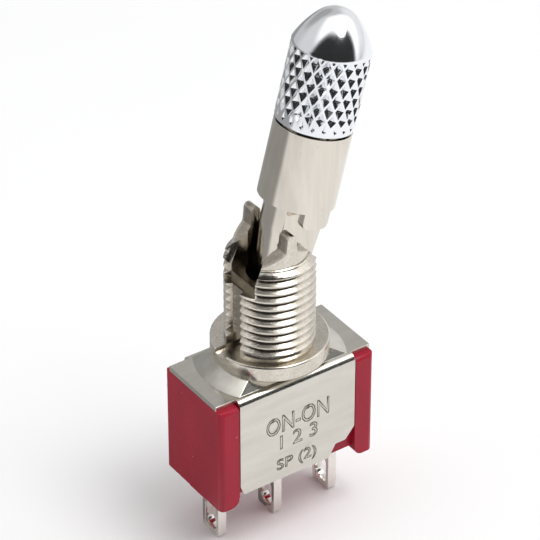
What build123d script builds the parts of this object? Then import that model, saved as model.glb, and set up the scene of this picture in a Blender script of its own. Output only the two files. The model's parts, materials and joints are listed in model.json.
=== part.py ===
from build123d import *
from math import cos, radians, sin, sqrt, tan
import os

# Miniature toggle switch with a locking lever, in millimetres.
# The origin is on the bushing's axis, at the flange's top face, which seats behind the panel.
# +Z points out of the panel, and the lever is thrown along X.

# ---- fits ----
run_gap = 0.05            # radial clearance of a turning or sliding fit
press_gap = 0.01          # joint line left round a piece that is pressed in
lock_gap = 0.10           # clearance of the lock's teeth when they pass or seat
past = 1.0                # how far a cut runs on past the face that it opens
most_round = 0.45         # largest share of a width that a rounded corner takes

# ---- bushing ----
thread_d = 6.30           # 1/4-40 thread, as a plain barrel
barrel_h = 7.00
barrel_chamfer = 0.42
flange_d = 8.24
flange_t = 1.20
flange_edge = 0.10
ear_d = 5.25              # the two ears above the thread
gable_rise = 1.35         # crest of the ears' sloping shoulders above the thread
gable_angle = 32.5
finger_w = 0.70           # lock finger on the crest of each ear
finger_h = 1.06
finger_root = 0.10        # how much wider each side of the finger is at its root
finger_fillet = 0.35
slot_w = 2.86             # slot in which the lever swings
slot_depth = 1.75         # below the top of the thread
slot_l = 4.30              # between the flats across the ends of the slot
slot_step = 0.40           # how far the flats go below the slot's floor
slot_flare = 50.0          # how the slot's ends widen, in plan
slot_lean = 23.0           # how the flats lean in, above slot_knee
slot_knee = 5.80
keyway_w = 1.24           # at its floor
keyway_mouth = 1.76
keyway_depth = 0.53
key_groove = 0.30         # keyway's depth in the flange's top face
throat_d = 3.30           # narrowest bore, above the ball

# ---- lever's pivot ----
pivot_h = 1.94
throw = 14.4              # degrees each side of upright
ball_d = 3.80
pin_d = 1.00
pin_len = 4.50

# ---- lever, measured along its own axis ----
neck_d = 1.40
shoulder_gap = 0.06       # between the shank's shoulder and the slot's floor, when thrown
shank_root_d = 3.60
shank_d = 4.20
shank_taper_h = 3.10
shank_h = 4.00            # straight part, on which the collar slides
flat_gap = 0.13           # between the lever's flats and the slot's walls
rod_d = 1.80
rivet_d = 1.10
rivet_head_d = 1.70
rivet_head_t = 0.25
arm_d = 1.80
arm_len = 4.60
arm_bore_d = 1.20
arm_bore_top = 1.30

# ---- lock collar and cap ----
collar_d = 5.40
collar_h = 5.50
collar_floor = 1.50       # thickness of the inner shoulder that the rod passes through
tongue_len = 1.13
tongue_play = 0.28        # between the tongue's side and the finger
tongue_round = 0.40
lift_travel = 2.20        # from locked to pulled right up
spigot_d = 4.20
spigot_h = 1.00
spigot_wall = 0.40
cap_d = 5.45
cap_gap = 0.12            # dark joint line between collar and cap
cap_band_h = 5.45         # knurled band
cap_rim_h = 0.15
cap_cone_angle = 32.0
cap_top_r = 1.90

# ---- lock spring ----
spring_room = 3.70        # between the collar's shoulder and the washer when locked
spring_wire = 0.30
spring_mean_d = 2.70
spring_turns = 3.0
washer_d = 3.60
washer_t = 0.40

# ---- plunger ----
plunger_reach = 7.30      # from the pivot to the tip
plunger_d = 1.60
plunger_stem_h = 2.00
plunger_travel = 0.25
plunger_wire = 0.20
plunger_turns = 2.0

# ---- frame ----
body_l = 12.80
body_w = 6.86
sheet_t = 0.40
bend_r = 0.58             # outer radius of the bend from plate to skirt
crown_foot_d = 10.60      # raised crown of the plate, on which the flange seats
crown_top_d = 8.00
crown_rise = 0.68
crown_side = 0.60         # how far the crown's long sides lean in
skirt_w = 9.60
skirt_h = 7.97            # below the plate's top face
skirt_corner = (0.30, 0.75)
skirt_round = 0.12
notch_corner = 0.90          # height of the bevel above the notch
notch_w = 2.15            # cut-away corner of the front skirt
notch_h = 1.00
notch_slope = 0.55
stake_wall = 0.45
stake_lip = 0.18
stake_h = 0.30
stake_corner = 0.20

# ---- case ----
case_h = 7.70             # from under the frame to the underside
case_edge = 0.40
case_bevel = 0.20
end_wall = 0.90
side_wall = 0.73
floor_t = 1.55
skirt_gap = 0.05
foot_h = 0.70
foot_flat = 0.90
foot_round = 0.60
boss_h = 1.05
boss_w = 1.60
boss_slope = 0.60
boss_l = 3.00

# ---- contacts and terminals ----
pitch = 4.70
blade_w = 1.98
blade_t = 0.68
blade_out = 4.10          # below the bosses
eyelet_w = 1.36
eyelet_h = 2.20
eyelet_rim = 0.42
eyelet_round = 0.50
tip_round = 0.22
fulcrum_gap = 0.075
tip_gap = 0.05
rock = 8.0                # degrees each side of level
rocker_t = 0.35
rocker_w = 2.60
rocker_rim = 0.20
wing_in = 3.05
wing_out = 4.25
wing_top = 0.20
contact_x = 3.60
contact_d = 1.40
contact_t = 0.30           # at the middle of its domed face
contact_dome = 0.13
contact_gap = 0.03
leg_t = 0.50
leg_in = 2.80
seal_t = 0.40

# ---- worked out from the sizes above ----
plate_w = body_w - 2 * bend_r
slot_floor = barrel_h - slot_depth
gable_top = barrel_h + gable_rise
finger_top = gable_top + finger_h
keyway_x = thread_d / 2 - keyway_depth
crown_top = -flange_t
crown_under = crown_top - sheet_t
plate_top = crown_top - crown_rise
plate_under = plate_top - sheet_t
stake_end = crown_under - stake_h
case_under = plate_under - case_h
cavity_floor = case_under + floor_t
cavity_l = body_l - 2 * end_wall
case_waist = body_w - 2 * (sheet_t + skirt_gap)
cavity_w = case_waist - 2 * side_wall
blade_end = case_under - boss_h - blade_out

neck_end = (slot_floor - pivot_h) * cos(radians(throw)) + shoulder_gap
neck_end += slot_l / 2 * sin(radians(throw))
taper_end = neck_end + shank_taper_h
shank_end = taper_end + shank_h
flats = slot_w - 2 * flat_gap
collar_foot = (finger_top - pivot_h) * cos(radians(throw)) + lock_gap
tongue_foot = collar_foot - tongue_len
collar_top = collar_foot + collar_h
cap_foot = collar_top + cap_gap
washer_foot = collar_top + spring_room
rivet_end = washer_foot + washer_t + rivet_head_t
unlock_lift = finger_top - pivot_h - tongue_foot + lock_gap
rest_lift = unlock_lift   # the collar is stored pulled up, clear of the fingers
rest_tilt = throw

fulcrum_r = blade_t / 2
fulcrum_z = pivot_h - plunger_reach - tip_gap - rocker_t - fulcrum_gap - fulcrum_r
tip_r = plunger_d / 2


# ---- helpers ----
def post(d, z0, z1, x=0.0, y=0.0):
    """Upright cylinder between two heights."""
    return Pos(x, y, (z0 + z1) / 2) * Cylinder(d / 2, z1 - z0)


def block(x0, x1, y0, y1, z0, z1):
    """Box between two corners."""
    return Pos((x0 + x1) / 2, (y0 + y1) / 2, (z0 + z1) / 2) * Box(x1 - x0, y1 - y0, z1 - z0)


def slab_xz(outline, width, corner=0.0):
    """Closed outline of (x, z) points, extruded both ways along Y to the given width.

    A corner radius rounds every corner but the first and the last."""
    face = make_face(Polyline(*[(x, 0, z) for x, z in outline], close=True)).face()
    if corner:
        first, last = outline[0], outline[-1]
        rounded = [v for v in face.vertices() if min(abs(v.X - first[0]) + abs(v.Z - first[1]),
                                                     abs(v.X - last[0]) + abs(v.Z - last[1])) > 1e-6]
        face = face.fillet_2d(corner, rounded)
    return extrude(face, amount=width / 2, dir=(0, 1, 0), both=True)


def slab_yz(outline, x0, x1):
    """Closed outline of (y, z) points, extruded along X from x0 to x1."""
    face = make_face(Polyline(*[(x0, y, z) for y, z in outline], close=True))
    return extrude(face, amount=x1 - x0, dir=(1, 0, 0))


def slab_xy(outline, z0, z1):
    """Closed outline of (x, y) points, extruded upwards from z0 to z1."""
    face = make_face(Polyline(*[(x, y, z0) for x, y in outline], close=True))
    return extrude(face, amount=z1 - z0, dir=(0, 0, 1))


def turned(outline):
    """Closed outline of (radius, z) points, turned about Z."""
    return revolve(make_face(Polyline(*[(r, 0, z) for r, z in outline], close=True)), Axis.Z, 360)


def coil(wire_d, mean_d, turns, foot, height):
    """Compression spring whose ends lie at foot and foot + height; its wire has five flats."""
    rise = height - wire_d
    path = Helix(pitch=rise / turns, height=rise, radius=mean_d / 2)
    start = Plane(origin=path @ 0, z_dir=path % 0)
    spring = sweep(start * RegularPolygon(wire_d / 2, 5), path=path, is_frenet=True)
    return Pos(0, 0, foot + wire_d / 2) * spring


def on_lever(solid, lift=0.0):
    """Carry a piece modelled upright about the pivot to the lever's stored tilt."""
    return Pos(0, 0, pivot_h) * Rot(0, rest_tilt, 0) * Pos(0, 0, lift) * solid


# ---- bushing ----
def ear_profile():
    """Front view of an ear: two sloping shoulders and a round-topped finger between them."""
    drop = tan(radians(gable_angle))
    half = ear_d / 2
    eave = gable_top - half * drop
    tip = finger_w / 2
    root = tip + finger_root
    root_z = gable_top - root * drop
    edges = Polyline((root, 0, root_z), (half, 0, eave), (half, 0, slot_floor),
                     (-half, 0, slot_floor), (-half, 0, eave), (-root, 0, root_z))
    right = Line((root, 0, root_z), (tip, 0, finger_top - tip))
    crown = ThreePointArc((tip, 0, finger_top - tip), (0, 0, finger_top), (-tip, 0, finger_top - tip))
    left = Line((-tip, 0, finger_top - tip), (-root, 0, root_z))
    face = make_face(Wire([*edges.edges(), right, crown, left])).face()
    corners = [v for v in face.vertices() if abs(v.Z - root_z) < 1e-6]
    return face.fillet_2d(finger_fillet, corners)


def make_bushing():
    """Die-cast bushing: flange, threaded barrel, slotted top with two locking ears."""
    flange = post(flange_d, -flange_t, 0)
    flange = chamfer(flange.edges().filter_by(GeomType.CIRCLE), flange_edge)
    barrel = post(thread_d, 0, barrel_h)
    barrel = chamfer(barrel.edges().group_by(Axis.Z)[-1], barrel_chamfer)
    ears = extrude(ear_profile(), amount=ear_d / 2, dir=(0, 1, 0), both=True)
    ears &= post(ear_d, slot_floor, finger_top)
    tenon_l = 2 * swing_reach(stake_end) + 2 * stake_wall
    tenon = stake(tenon_l, tenon_width(), stake_end, crown_top)
    lip = stake(tenon_l + 2 * stake_lip, tenon_width() + 2 * stake_lip, stake_end, crown_under)
    body = flange + barrel + ears + tenon + lip
    return body - bushing_voids()


def swing_reach(z):
    """Half length along X that the lever's lower arm needs at a height below the pivot."""
    drop = pivot_h - z
    return drop * tan(radians(throw)) + arm_d / 2 / cos(radians(throw)) + 2 * run_gap


def tenon_width():
    """Width of the tenon that is staked under the frame."""
    return arm_d + 4 * run_gap + 2 * (stake_wall + run_gap)


def stake(length, width, z0, z1):
    """Rounded bar of the tenon."""
    plan = RectangleRounded(length, width, stake_corner)
    return Pos(0, 0, z0) * extrude(plan, z1 - z0)


def bushing_voids():
    """Everything that is cut from the bushing."""
    reach = flange_d
    slot = block(-reach, reach, -slot_w / 2, slot_w / 2, slot_floor, finger_top + past)
    ends = [cut for side in (-1, 1) for cut in slot_ends(side)]
    flare = (keyway_mouth - keyway_w) / 2 / keyway_depth * past
    key = [(-keyway_x, -keyway_w / 2), (-keyway_x, keyway_w / 2),
           (-keyway_x - past, keyway_w / 2 + flare), (-keyway_x - past, -keyway_w / 2 - flare)]
    key = slab_xy(key, 0, slot_floor + past)
    groove_key = block(-reach, -keyway_x, -keyway_w / 2, keyway_w / 2, -key_groove, past)
    pocket = ball_d / 2 + run_gap
    throat = post(throat_d, pivot_h, finger_top + past)
    socket = Pos(0, 0, pivot_h) * Sphere(pocket)
    chamber = post(2 * pocket, pivot_h - pocket, pivot_h)
    waist = pivot_h - pocket / 2
    swing_end = stake_end - past
    swing = slab_xz([(-swing_reach(waist), waist), (swing_reach(waist), waist),
                     (swing_reach(swing_end), swing_end), (-swing_reach(swing_end), swing_end)],
                    arm_d + 4 * run_gap)
    groove_l = pin_len + 2 * run_gap
    groove_w = pin_d + 2 * run_gap
    groove = block(-groove_w / 2, groove_w / 2, -groove_l / 2, groove_l / 2, swing_end, pivot_h)
    groove_end = Pos(0, 0, pivot_h) * Rot(90, 0, 0) * Cylinder(groove_w / 2, groove_l)
    return [slot, *ends, key, groove_key, throat, socket, chamber, swing, groove, groove_end]


def slot_ends(side):
    """Cuts of one end of the slot: an upright flat with flared sides, and a leaning one above."""
    deep = flange_d / 2
    wide = slot_w / 2 + deep * tan(radians(slot_flare))
    plan = [(0, -slot_w / 2), (0, slot_w / 2), (side * deep, wide), (side * deep, -wide)]
    rise = finger_top - slot_floor
    upright = Pos(side * slot_l / 2, 0, 0) * slab_xy(plan, slot_floor - slot_step, finger_top)
    leaning = Rot(0, -side * slot_lean, 0) * slab_xy(plan, 0, rise)
    return [upright, Pos(side * slot_l / 2, 0, slot_knee) * leaning]


# ---- lever and its pin ----
def make_lever():
    """Lever turned in one piece: rod, flatted shank, neck, ball and hollow lower arm."""
    ball = Sphere(ball_d / 2)
    profile = [(0, 0), (neck_d / 2, 0), (neck_d / 2, neck_end), (shank_root_d / 2, neck_end),
               (shank_d / 2, taper_end), (shank_d / 2, shank_end), (rod_d / 2, shank_end),
               (rod_d / 2, washer_foot), (rivet_d / 2, washer_foot),
               (rivet_d / 2, washer_foot + washer_t), (rivet_head_d / 2, washer_foot + washer_t),
               (rivet_d / 2, rivet_end), (0, rivet_end)]
    stem = turned(profile)
    stem &= block(-shank_d, shank_d, -flats / 2, flats / 2, -past, rivet_end)
    arm = post(arm_d, -arm_len, 0)
    bore = post(arm_bore_d, -arm_len, -arm_bore_top)
    hole = Rot(90, 0, 0) * Cylinder(pin_d / 2 + press_gap, ball_d + past)
    return on_lever(stem + ball + arm - bore - hole)


def make_pivot_pin():
    """Cross pin of the ball, turning in the bushing's two grooves."""
    return on_lever(Rot(90, 0, 0) * Cylinder(pin_d / 2, pin_len))


# ---- lock ----
def tongue_width():
    """Width that fits beside the finger when the lever is thrown."""
    height = finger_top - finger_h / 2 - pivot_h
    side = finger_w / 2 + finger_root / 2
    offset = (height * tan(radians(throw)) - side) * cos(radians(throw))
    return 2 * (offset - tongue_play)


def make_lock_collar():
    """Sliding sleeve with two tongues that seat beside the bushing's fingers."""
    shell = post(collar_d, tongue_foot, collar_top)
    spigot = post(spigot_d, collar_top, collar_top + spigot_h)
    bore = post(shank_d + 2 * run_gap, tongue_foot, collar_top - collar_floor)
    rod_hole = post(rod_d + 2 * run_gap, collar_top - collar_floor, collar_top)
    cup = post(spigot_d - 2 * spigot_wall, collar_top, collar_top + spigot_h)
    tongue = Pos(0, 0, tongue_foot + tongue_len / 2 + tongue_round) * Box(
        tongue_width(), collar_d, tongue_len + 2 * tongue_round)
    feet = tongue.edges().filter_by(Axis.Y).group_by(Axis.Z)[0]
    tongue = fillet(feet, min(tongue_round, tongue_width() * most_round))
    skirt = post(collar_d + past, tongue_foot - past, collar_foot) - tongue
    return on_lever(shell + spigot - bore - rod_hole - cup - skirt, rest_lift)


def make_cap():
    """Round-nosed knob that is pressed on the collar's spigot and hides the lock spring."""
    r = cap_d / 2
    angle = radians(cap_cone_angle)
    band_top = cap_foot + cap_band_h
    rim_top = band_top + cap_rim_h
    nose_r = cap_top_r * cos(angle)
    nose_z = rim_top + (r - nose_r) / tan(angle)
    centre_z = nose_z - cap_top_r * sin(angle)
    apex = (0, 0, centre_z + cap_top_r)
    half = radians(45) + angle / 2
    middle = (cap_top_r * cos(half), 0, centre_z + cap_top_r * sin(half))
    nose = ThreePointArc((nose_r, 0, nose_z), middle, apex)
    side = Polyline(apex, (0, 0, cap_foot), (r, 0, cap_foot), (r, 0, rim_top), (nose_r, 0, nose_z))
    knob = revolve(make_face(Wire([*side.edges(), nose])), Axis.Z, 360)
    bore = post(spigot_d + 2 * press_gap, cap_foot, rivet_end + 4 * run_gap)
    return on_lever(knob - bore, rest_lift)


def make_lock_spring():
    """Compression spring that holds the collar down."""
    room = spring_room - rest_lift
    spring = coil(spring_wire, spring_mean_d, spring_turns, collar_top + rest_lift, room)
    return on_lever(spring)


def make_lock_washer():
    """Washer riveted to the rod's end, against which the lock spring pushes."""
    ring = post(washer_d, washer_foot, washer_foot + washer_t)
    hole = post(rivet_d + 2 * press_gap, washer_foot, washer_foot + washer_t)
    return on_lever(ring - hole)


# ---- plunger ----
def make_plunger():
    """Round-nosed plunger in the lever's lower end, which rides on the contactor."""
    head_top = -arm_len - plunger_travel - run_gap
    stem_top = head_top + plunger_stem_h
    stem = post(arm_bore_d - 2 * run_gap, head_top, stem_top)
    head = post(plunger_d, -plunger_reach + tip_r, head_top)
    tip = Pos(0, 0, -plunger_reach + tip_r) * Sphere(tip_r)
    return on_lever(stem + head + tip)


def make_plunger_spring():
    """Spring above the plunger's stem, in the lever's bore."""
    stem_top = -arm_len - plunger_travel - run_gap + plunger_stem_h
    height = -arm_bore_top - stem_top
    mean = arm_bore_d - plunger_wire - 2 * run_gap
    return on_lever(coil(plunger_wire, mean, plunger_turns, stem_top, height))


# ---- frame ----
def skirt_bend(side):
    """Bend from the plate's edge into one skirt, over the skirt's full width."""
    y0 = side * plate_w / 2
    centre_z = plate_top - bend_r
    outer = Pos(0, y0, centre_z) * Rot(0, 90, 0) * Cylinder(bend_r, skirt_w)
    inner = Pos(0, y0, centre_z) * Rot(0, 90, 0) * Cylinder(bend_r - sheet_t, skirt_w)
    y1 = y0 + side * bend_r
    quarter = block(-skirt_w / 2, skirt_w / 2, min(y0, y1), max(y0, y1), centre_z, plate_top)
    return (outer - inner) & quarter


def front_outline():
    """Front skirt, with a small corner on the left and a cut-away corner on the right."""
    half = skirt_w / 2
    top = plate_top - bend_r
    foot = plate_top - skirt_h
    cut_x, cut_z = skirt_corner
    return [(-half, top), (-half, foot + cut_z), (-half + cut_x, foot), (half - notch_w, foot),
            (half - notch_w + notch_slope, foot + notch_h), (half - cut_z, foot + notch_h),
            (half, foot + notch_h + notch_corner), (half, top)]


def rear_outline():
    """Rear skirt, with two small corners."""
    half = skirt_w / 2
    top = plate_top - bend_r
    foot = plate_top - skirt_h
    cut_x, cut_z = skirt_corner
    return [(-half, top), (-half, foot + cut_z), (-half + cut_x, foot), (half - cut_x, foot),
            (half, foot + cut_z), (half, top)]


def crown(inset, z0, z1):
    """Raised crown round the bushing: a cone cut off by two leaning long sides."""
    foot, top = crown_foot_d / 2 - inset, crown_top_d / 2 - inset
    cone = turned([(0, z0), (foot, z0), (top, z1), (0, z1)])
    foot_y = plate_w / 2 - inset
    top_y = foot_y - crown_side
    outline = [(-foot_y, z0), (foot_y, z0), (top_y, z1), (-top_y, z1)]
    return cone & slab_yz(outline, -body_l / 2, body_l / 2)


def make_frame():
    """Stamped frame: a crowned plate under the flange, bent down into a skirt front and back."""
    plate = block(-body_l / 2, body_l / 2, -plate_w / 2, plate_w / 2, plate_under, plate_top)
    y = body_w / 2 - sheet_t / 2
    front = Pos(0, -y, 0) * slab_xz(front_outline(), sheet_t, skirt_round)
    rear = Pos(0, y, 0) * slab_xz(rear_outline(), sheet_t, skirt_round)
    sheet = plate + crown(0, plate_top, crown_top) + skirt_bend(-1) + skirt_bend(1) + front + rear
    tenon_l = 2 * swing_reach(stake_end) + 2 * stake_wall
    hole = stake(tenon_l + 2 * press_gap, tenon_width() + 2 * press_gap, plate_under, crown_top)
    return sheet - crown(sheet_t, plate_under, crown_under) - hole


# ---- case ----
def case_foot(side):
    """Bar along one end of the underside, rounded on its inner side."""
    x = body_l / 2
    foot = case_under - foot_h
    inner = x - foot_flat - foot_round
    bend = foot_round * (1 - sin(radians(45)))
    flat = Polyline((side * inner, 0, foot + foot_round), (side * inner, 0, case_under),
                    (side * x, 0, case_under), (side * x, 0, foot), (side * (x - foot_flat), 0, foot))
    arc = ThreePointArc((side * (x - foot_flat), 0, foot), (side * (inner + bend), 0, foot + bend),
                        (side * inner, 0, foot + foot_round))
    face = make_face(Wire([*flat.edges(), arc]))
    return extrude(face, amount=body_w / 2, dir=(0, 1, 0), both=True)


def terminal_boss(x):
    """Raised pad on the underside, round one terminal."""
    half = boss_w / 2
    foot = case_under - boss_h
    outline = [(-half - boss_slope, case_under), (-half, foot), (half, foot),
               (half + boss_slope, case_under)]
    x0 = max(x - boss_l / 2, -body_l / 2 + case_edge / 2)
    x1 = min(x + boss_l / 2, body_l / 2 - case_edge / 2)
    return slab_yz(outline, x0, x1)


def make_case():
    """Moulded case with four corner pillars, between which the skirts lie flush."""
    plan = RectangleRounded(body_l, body_w, case_edge)
    deepest = case_under - boss_h
    block_out = Pos(0, 0, case_under) * extrude(plan, case_h)
    under = Pos(0, 0, deepest) * extrude(plan, boss_h)
    feet = (case_foot(-1) + case_foot(1)) & under
    shell = block_out + feet
    for x in (-pitch, 0, pitch):
        shell += terminal_boss(x)
    half = skirt_w / 2 + skirt_gap
    for side in (-1, 1):
        y0, y1 = sorted((side * case_waist / 2, side * body_w))
        shell -= block(-half, half, y0, y1, case_under - foot_h, plate_under)
        shell -= case_top_bevel(side, half, case_waist / 2)
        shell -= case_top_bevel(side, body_l, body_w / 2)
    cavity = block(-cavity_l / 2, cavity_l / 2, -cavity_w / 2, cavity_w / 2, cavity_floor, plate_under)
    shell -= cavity
    for x in (-pitch, 0, pitch):
        shell -= blade_slot(x, deepest, cavity_floor)
    return shell


def case_top_bevel(side, half_l, y):
    """Bevel along the top edge of a wall whose outer face is at y."""
    outline = [(side * (y - case_bevel), plate_under), (side * (y + case_bevel), plate_under),
               (side * (y + case_bevel), plate_under - 2 * case_bevel)]
    return slab_yz(outline, -half_l, half_l)


def blade_slot(x, z0, z1):
    """Passage for a terminal's blade."""
    t = blade_t / 2 + press_gap
    w = blade_w / 2 + press_gap
    return block(x - t, x + t, -w, w, z0, z1)


def make_terminal_seal():
    """Poured seal over the case's floor, round the three blades."""
    pad = block(-cavity_l / 2, cavity_l / 2, -cavity_w / 2, cavity_w / 2,
                cavity_floor, cavity_floor + seal_t)
    for x in (-pitch, 0, pitch):
        pad -= blade_slot(x, cavity_floor, cavity_floor + seal_t)
    return pad


# ---- terminals and contacts ----
def blade(x, top):
    """Solder terminal: a flat blade with a rounded eyelet near its tip."""
    strip = block(x - blade_t / 2, x + blade_t / 2, -blade_w / 2, blade_w / 2, blade_end, top)
    tips = strip.edges().filter_by(Axis.X).group_by(Axis.Z)[0]
    strip = fillet(tips, min(tip_round, blade_w * most_round))
    eye_z = blade_end + eyelet_rim + eyelet_h / 2
    plan = RectangleRounded(eyelet_h, eyelet_w, min(eyelet_round, eyelet_w * most_round))
    eye = Pos(x, 0, eye_z) * Rot(0, 90, 0) * extrude(plan, blade_t, both=True)
    return strip - eye


def make_terminal_center():
    """Common terminal, whose round upper edge carries the contactor."""
    top = Pos(0, 0, fulcrum_z) * Rot(90, 0, 0) * Cylinder(fulcrum_r, blade_w)
    return blade(0, fulcrum_z) + top


def dome_radius():
    """Radius of a contact's domed face."""
    return ((contact_d / 2) ** 2 + contact_dome ** 2) / (2 * contact_dome)


def contact_top():
    """Height of a fixed contact's crown, just under the contactor's lowered wing."""
    a = radians(rock)
    under = fulcrum_z - contact_x * tan(a) + (wing_top - rocker_t) / cos(a)
    return under + dome_radius() - (dome_radius() + contact_gap) / cos(a)


def make_terminal_end(side):
    """End terminal, bent inwards under the contactor's wing."""
    leg_top = contact_top() - contact_t
    x = side * pitch
    x0, x1 = sorted((side * leg_in, side * (pitch + blade_t / 2)))
    leg = block(x0, x1, -blade_w / 2, blade_w / 2, leg_top - leg_t, leg_top)
    return blade(x, leg_top) + leg


def make_contact(side):
    """Domed silver button on an end terminal's leg."""
    top = contact_top()
    button = post(contact_d, top - contact_t, top, x=side * contact_x)
    return button & Pos(side * contact_x, 0, top - dome_radius()) * Sphere(dome_radius())


# ---- contactor ----
def tip_path():
    """Path of the plunger's nose centre, seen from the rocking contactor.

    Gives its height when upright and the radius of the arc through both thrown places."""
    reach = plunger_reach - tip_r
    upright = pivot_h - reach - fulcrum_z
    x = -reach * sin(radians(throw))
    z = pivot_h - reach * cos(radians(throw)) - fulcrum_z
    a = radians(rock)
    seen_x = x * cos(a) + z * sin(a)
    seen_z = z * cos(a) - x * sin(a)
    rise = seen_z - upright
    return upright, (seen_x ** 2 + rise ** 2) / (2 * rise), abs(seen_x)


def make_contactor():
    """Rocking contactor: a strip with a curved valley and two contact wings."""
    upright, path_r, seen_x = tip_path()
    centre_z = upright + path_r
    r = path_r + tip_r + tip_gap + rocker_t / 2
    peak_x = seen_x / path_r * r + rocker_rim
    peak_z = centre_z - sqrt(r ** 2 - peak_x ** 2)
    wing_z = wing_top - rocker_t / 2
    valley = ThreePointArc((-peak_x, 0, peak_z), (0, 0, centre_z - r), (peak_x, 0, peak_z))
    right = Polyline((peak_x, 0, peak_z), (wing_in, 0, wing_z), (wing_out, 0, wing_z))
    left = Polyline((-wing_out, 0, wing_z), (-wing_in, 0, wing_z), (-peak_x, 0, peak_z))
    line = Wire([*left.edges(), valley, *right.edges()])
    strip = make_face(offset(line, rocker_t / 2, side=Side.BOTH, kind=Kind.INTERSECTION))
    solid = extrude(strip, amount=rocker_w / 2, dir=(0, 1, 0), both=True)
    return Pos(0, 0, fulcrum_z) * Rot(0, -rock * rest_tilt / throw, 0) * solid


# ---- write one file per piece ----
pieces = {
    "case": make_case(),
    "frame": make_frame(),
    "bushing": make_bushing(),
    "lever": make_lever(),
    "pivot_pin": make_pivot_pin(),
    "lock_collar": make_lock_collar(),
    "cap": make_cap(),
    "lock_spring": make_lock_spring(),
    "lock_washer": make_lock_washer(),
    "plunger": make_plunger(),
    "plunger_spring": make_plunger_spring(),
    "contactor": make_contactor(),
    "terminal_center": make_terminal_center(),
    "terminal_left": make_terminal_end(-1),
    "terminal_right": make_terminal_end(1),
    "contact_left": make_contact(-1),
    "contact_right": make_contact(1),
    "terminal_seal": make_terminal_seal(),
}

os.makedirs("parts", exist_ok=True)
for name, solid in pieces.items():
    export_step(solid, f"parts/{name}.step")
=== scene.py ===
# %% [markdown]
# # A miniature toggle switch with a locking lever
#
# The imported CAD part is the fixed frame: every position comes from it. This lesson dresses it.
# The bushing gets its thread, the cap its knurl, the sheet-metal frame its stamped marks, and
# every surface gets a procedural material. Pieces are worked on in millimetres and brought
# back to metres at the end, because booleans are more exact at that scale.

# %% Load the fixed frame
import json
import math

import bmesh
import bpy
from mathutils import Matrix, Vector


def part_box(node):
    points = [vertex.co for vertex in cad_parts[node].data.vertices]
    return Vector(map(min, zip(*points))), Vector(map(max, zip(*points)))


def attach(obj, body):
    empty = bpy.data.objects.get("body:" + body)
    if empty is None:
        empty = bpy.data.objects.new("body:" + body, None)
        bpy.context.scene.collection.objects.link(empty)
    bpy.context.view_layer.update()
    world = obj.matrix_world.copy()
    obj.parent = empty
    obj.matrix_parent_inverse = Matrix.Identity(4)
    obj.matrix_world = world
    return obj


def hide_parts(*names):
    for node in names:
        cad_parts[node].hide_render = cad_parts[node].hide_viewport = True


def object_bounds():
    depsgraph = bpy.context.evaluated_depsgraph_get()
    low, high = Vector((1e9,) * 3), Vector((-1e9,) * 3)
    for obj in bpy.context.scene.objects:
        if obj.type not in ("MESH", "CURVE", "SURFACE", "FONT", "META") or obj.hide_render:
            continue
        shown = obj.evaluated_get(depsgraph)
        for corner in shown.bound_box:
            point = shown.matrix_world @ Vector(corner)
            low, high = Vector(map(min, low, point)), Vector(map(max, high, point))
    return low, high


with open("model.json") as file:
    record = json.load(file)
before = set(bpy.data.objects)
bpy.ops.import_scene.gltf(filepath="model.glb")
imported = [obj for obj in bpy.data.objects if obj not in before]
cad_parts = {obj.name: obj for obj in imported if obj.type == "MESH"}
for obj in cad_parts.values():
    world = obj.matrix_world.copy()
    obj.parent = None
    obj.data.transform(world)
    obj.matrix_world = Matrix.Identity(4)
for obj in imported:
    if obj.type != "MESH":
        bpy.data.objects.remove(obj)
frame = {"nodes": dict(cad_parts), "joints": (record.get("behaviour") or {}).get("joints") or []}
cad_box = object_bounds()
scene = bpy.context.scene
MM = 0.001

# %% [markdown]
# ## The camera
# A long lens a short way off keeps the upright edges almost parallel. The camera is made
# first, because every later choice is judged through it.

# %% Camera and view
CAMERA_FORWARD = Vector((0.46719, 0.67336, -0.57299)).normalized()
CAMERA_AIM = Vector((0.02, 0.0, 5.22)) * MM
CAMERA_DISTANCE = 223.0 * MM
CAMERA_LENS = 220.3
CAMERA_SENSOR = 36
CAMERA_CLIP = (0.01, 10)


def aim_camera(aim, forward, distance, lens):
    """A camera that looks along a direction at a point."""
    lens_data = bpy.data.cameras.new("camera")
    lens_data.lens = lens
    lens_data.sensor_width = CAMERA_SENSOR
    lens_data.clip_start, lens_data.clip_end = CAMERA_CLIP
    camera = bpy.data.objects.new("camera", lens_data)
    scene.collection.objects.link(camera)
    turn = forward.to_track_quat("-Z", "Y").to_matrix().to_4x4()
    camera.matrix_world = Matrix.Translation(aim - forward * distance) @ turn
    scene.camera = camera
    return camera


camera = aim_camera(CAMERA_AIM, CAMERA_FORWARD, CAMERA_DISTANCE, CAMERA_LENS)
scene.view_settings.view_transform = "Standard"
print("camera at", [round(c, 3) for c in camera.matrix_world.translation], "m")


# %% [markdown]
# ## Where the lever is
# The joints say where the lever turns and which way it leans. Pieces of the lever are built
# upright about this axis, and then leaned with one matrix.

# %% The lever's own axis
def joint(name):
    """One joint of the frame, by name."""
    return next(j for j in frame["joints"] if j["name"] == name)


pivot = Vector(joint("lever_tilt")["pos_m"]) / MM
lean = Vector(joint("collar_lift")["axis"])
lever_matrix = Matrix.Translation(pivot) @ Matrix.Rotation(math.atan2(lean.x, lean.z), 4, "Y")


def ring_sizes(node):
    """Each corner of a node as (height, radius) about the lever's axis, in millimetres."""
    back = lever_matrix.inverted()
    corners = (back @ (v.co / MM) for v in frame["nodes"][node].data.vertices)
    return [(p.z, math.hypot(p.x, p.y)) for p in corners]


cap_sizes = ring_sizes("cap")
cap_foot = min(height for height, radius in cap_sizes)
cap_top = max(height for height, radius in cap_sizes)
cap_radius = max(radius for height, radius in cap_sizes)
cap_bore = min(radius for height, radius in cap_sizes if height < cap_foot + 0.01)
print("cap from", round(cap_foot, 3), "to", round(cap_top, 3), "radius", round(cap_radius, 3))


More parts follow.
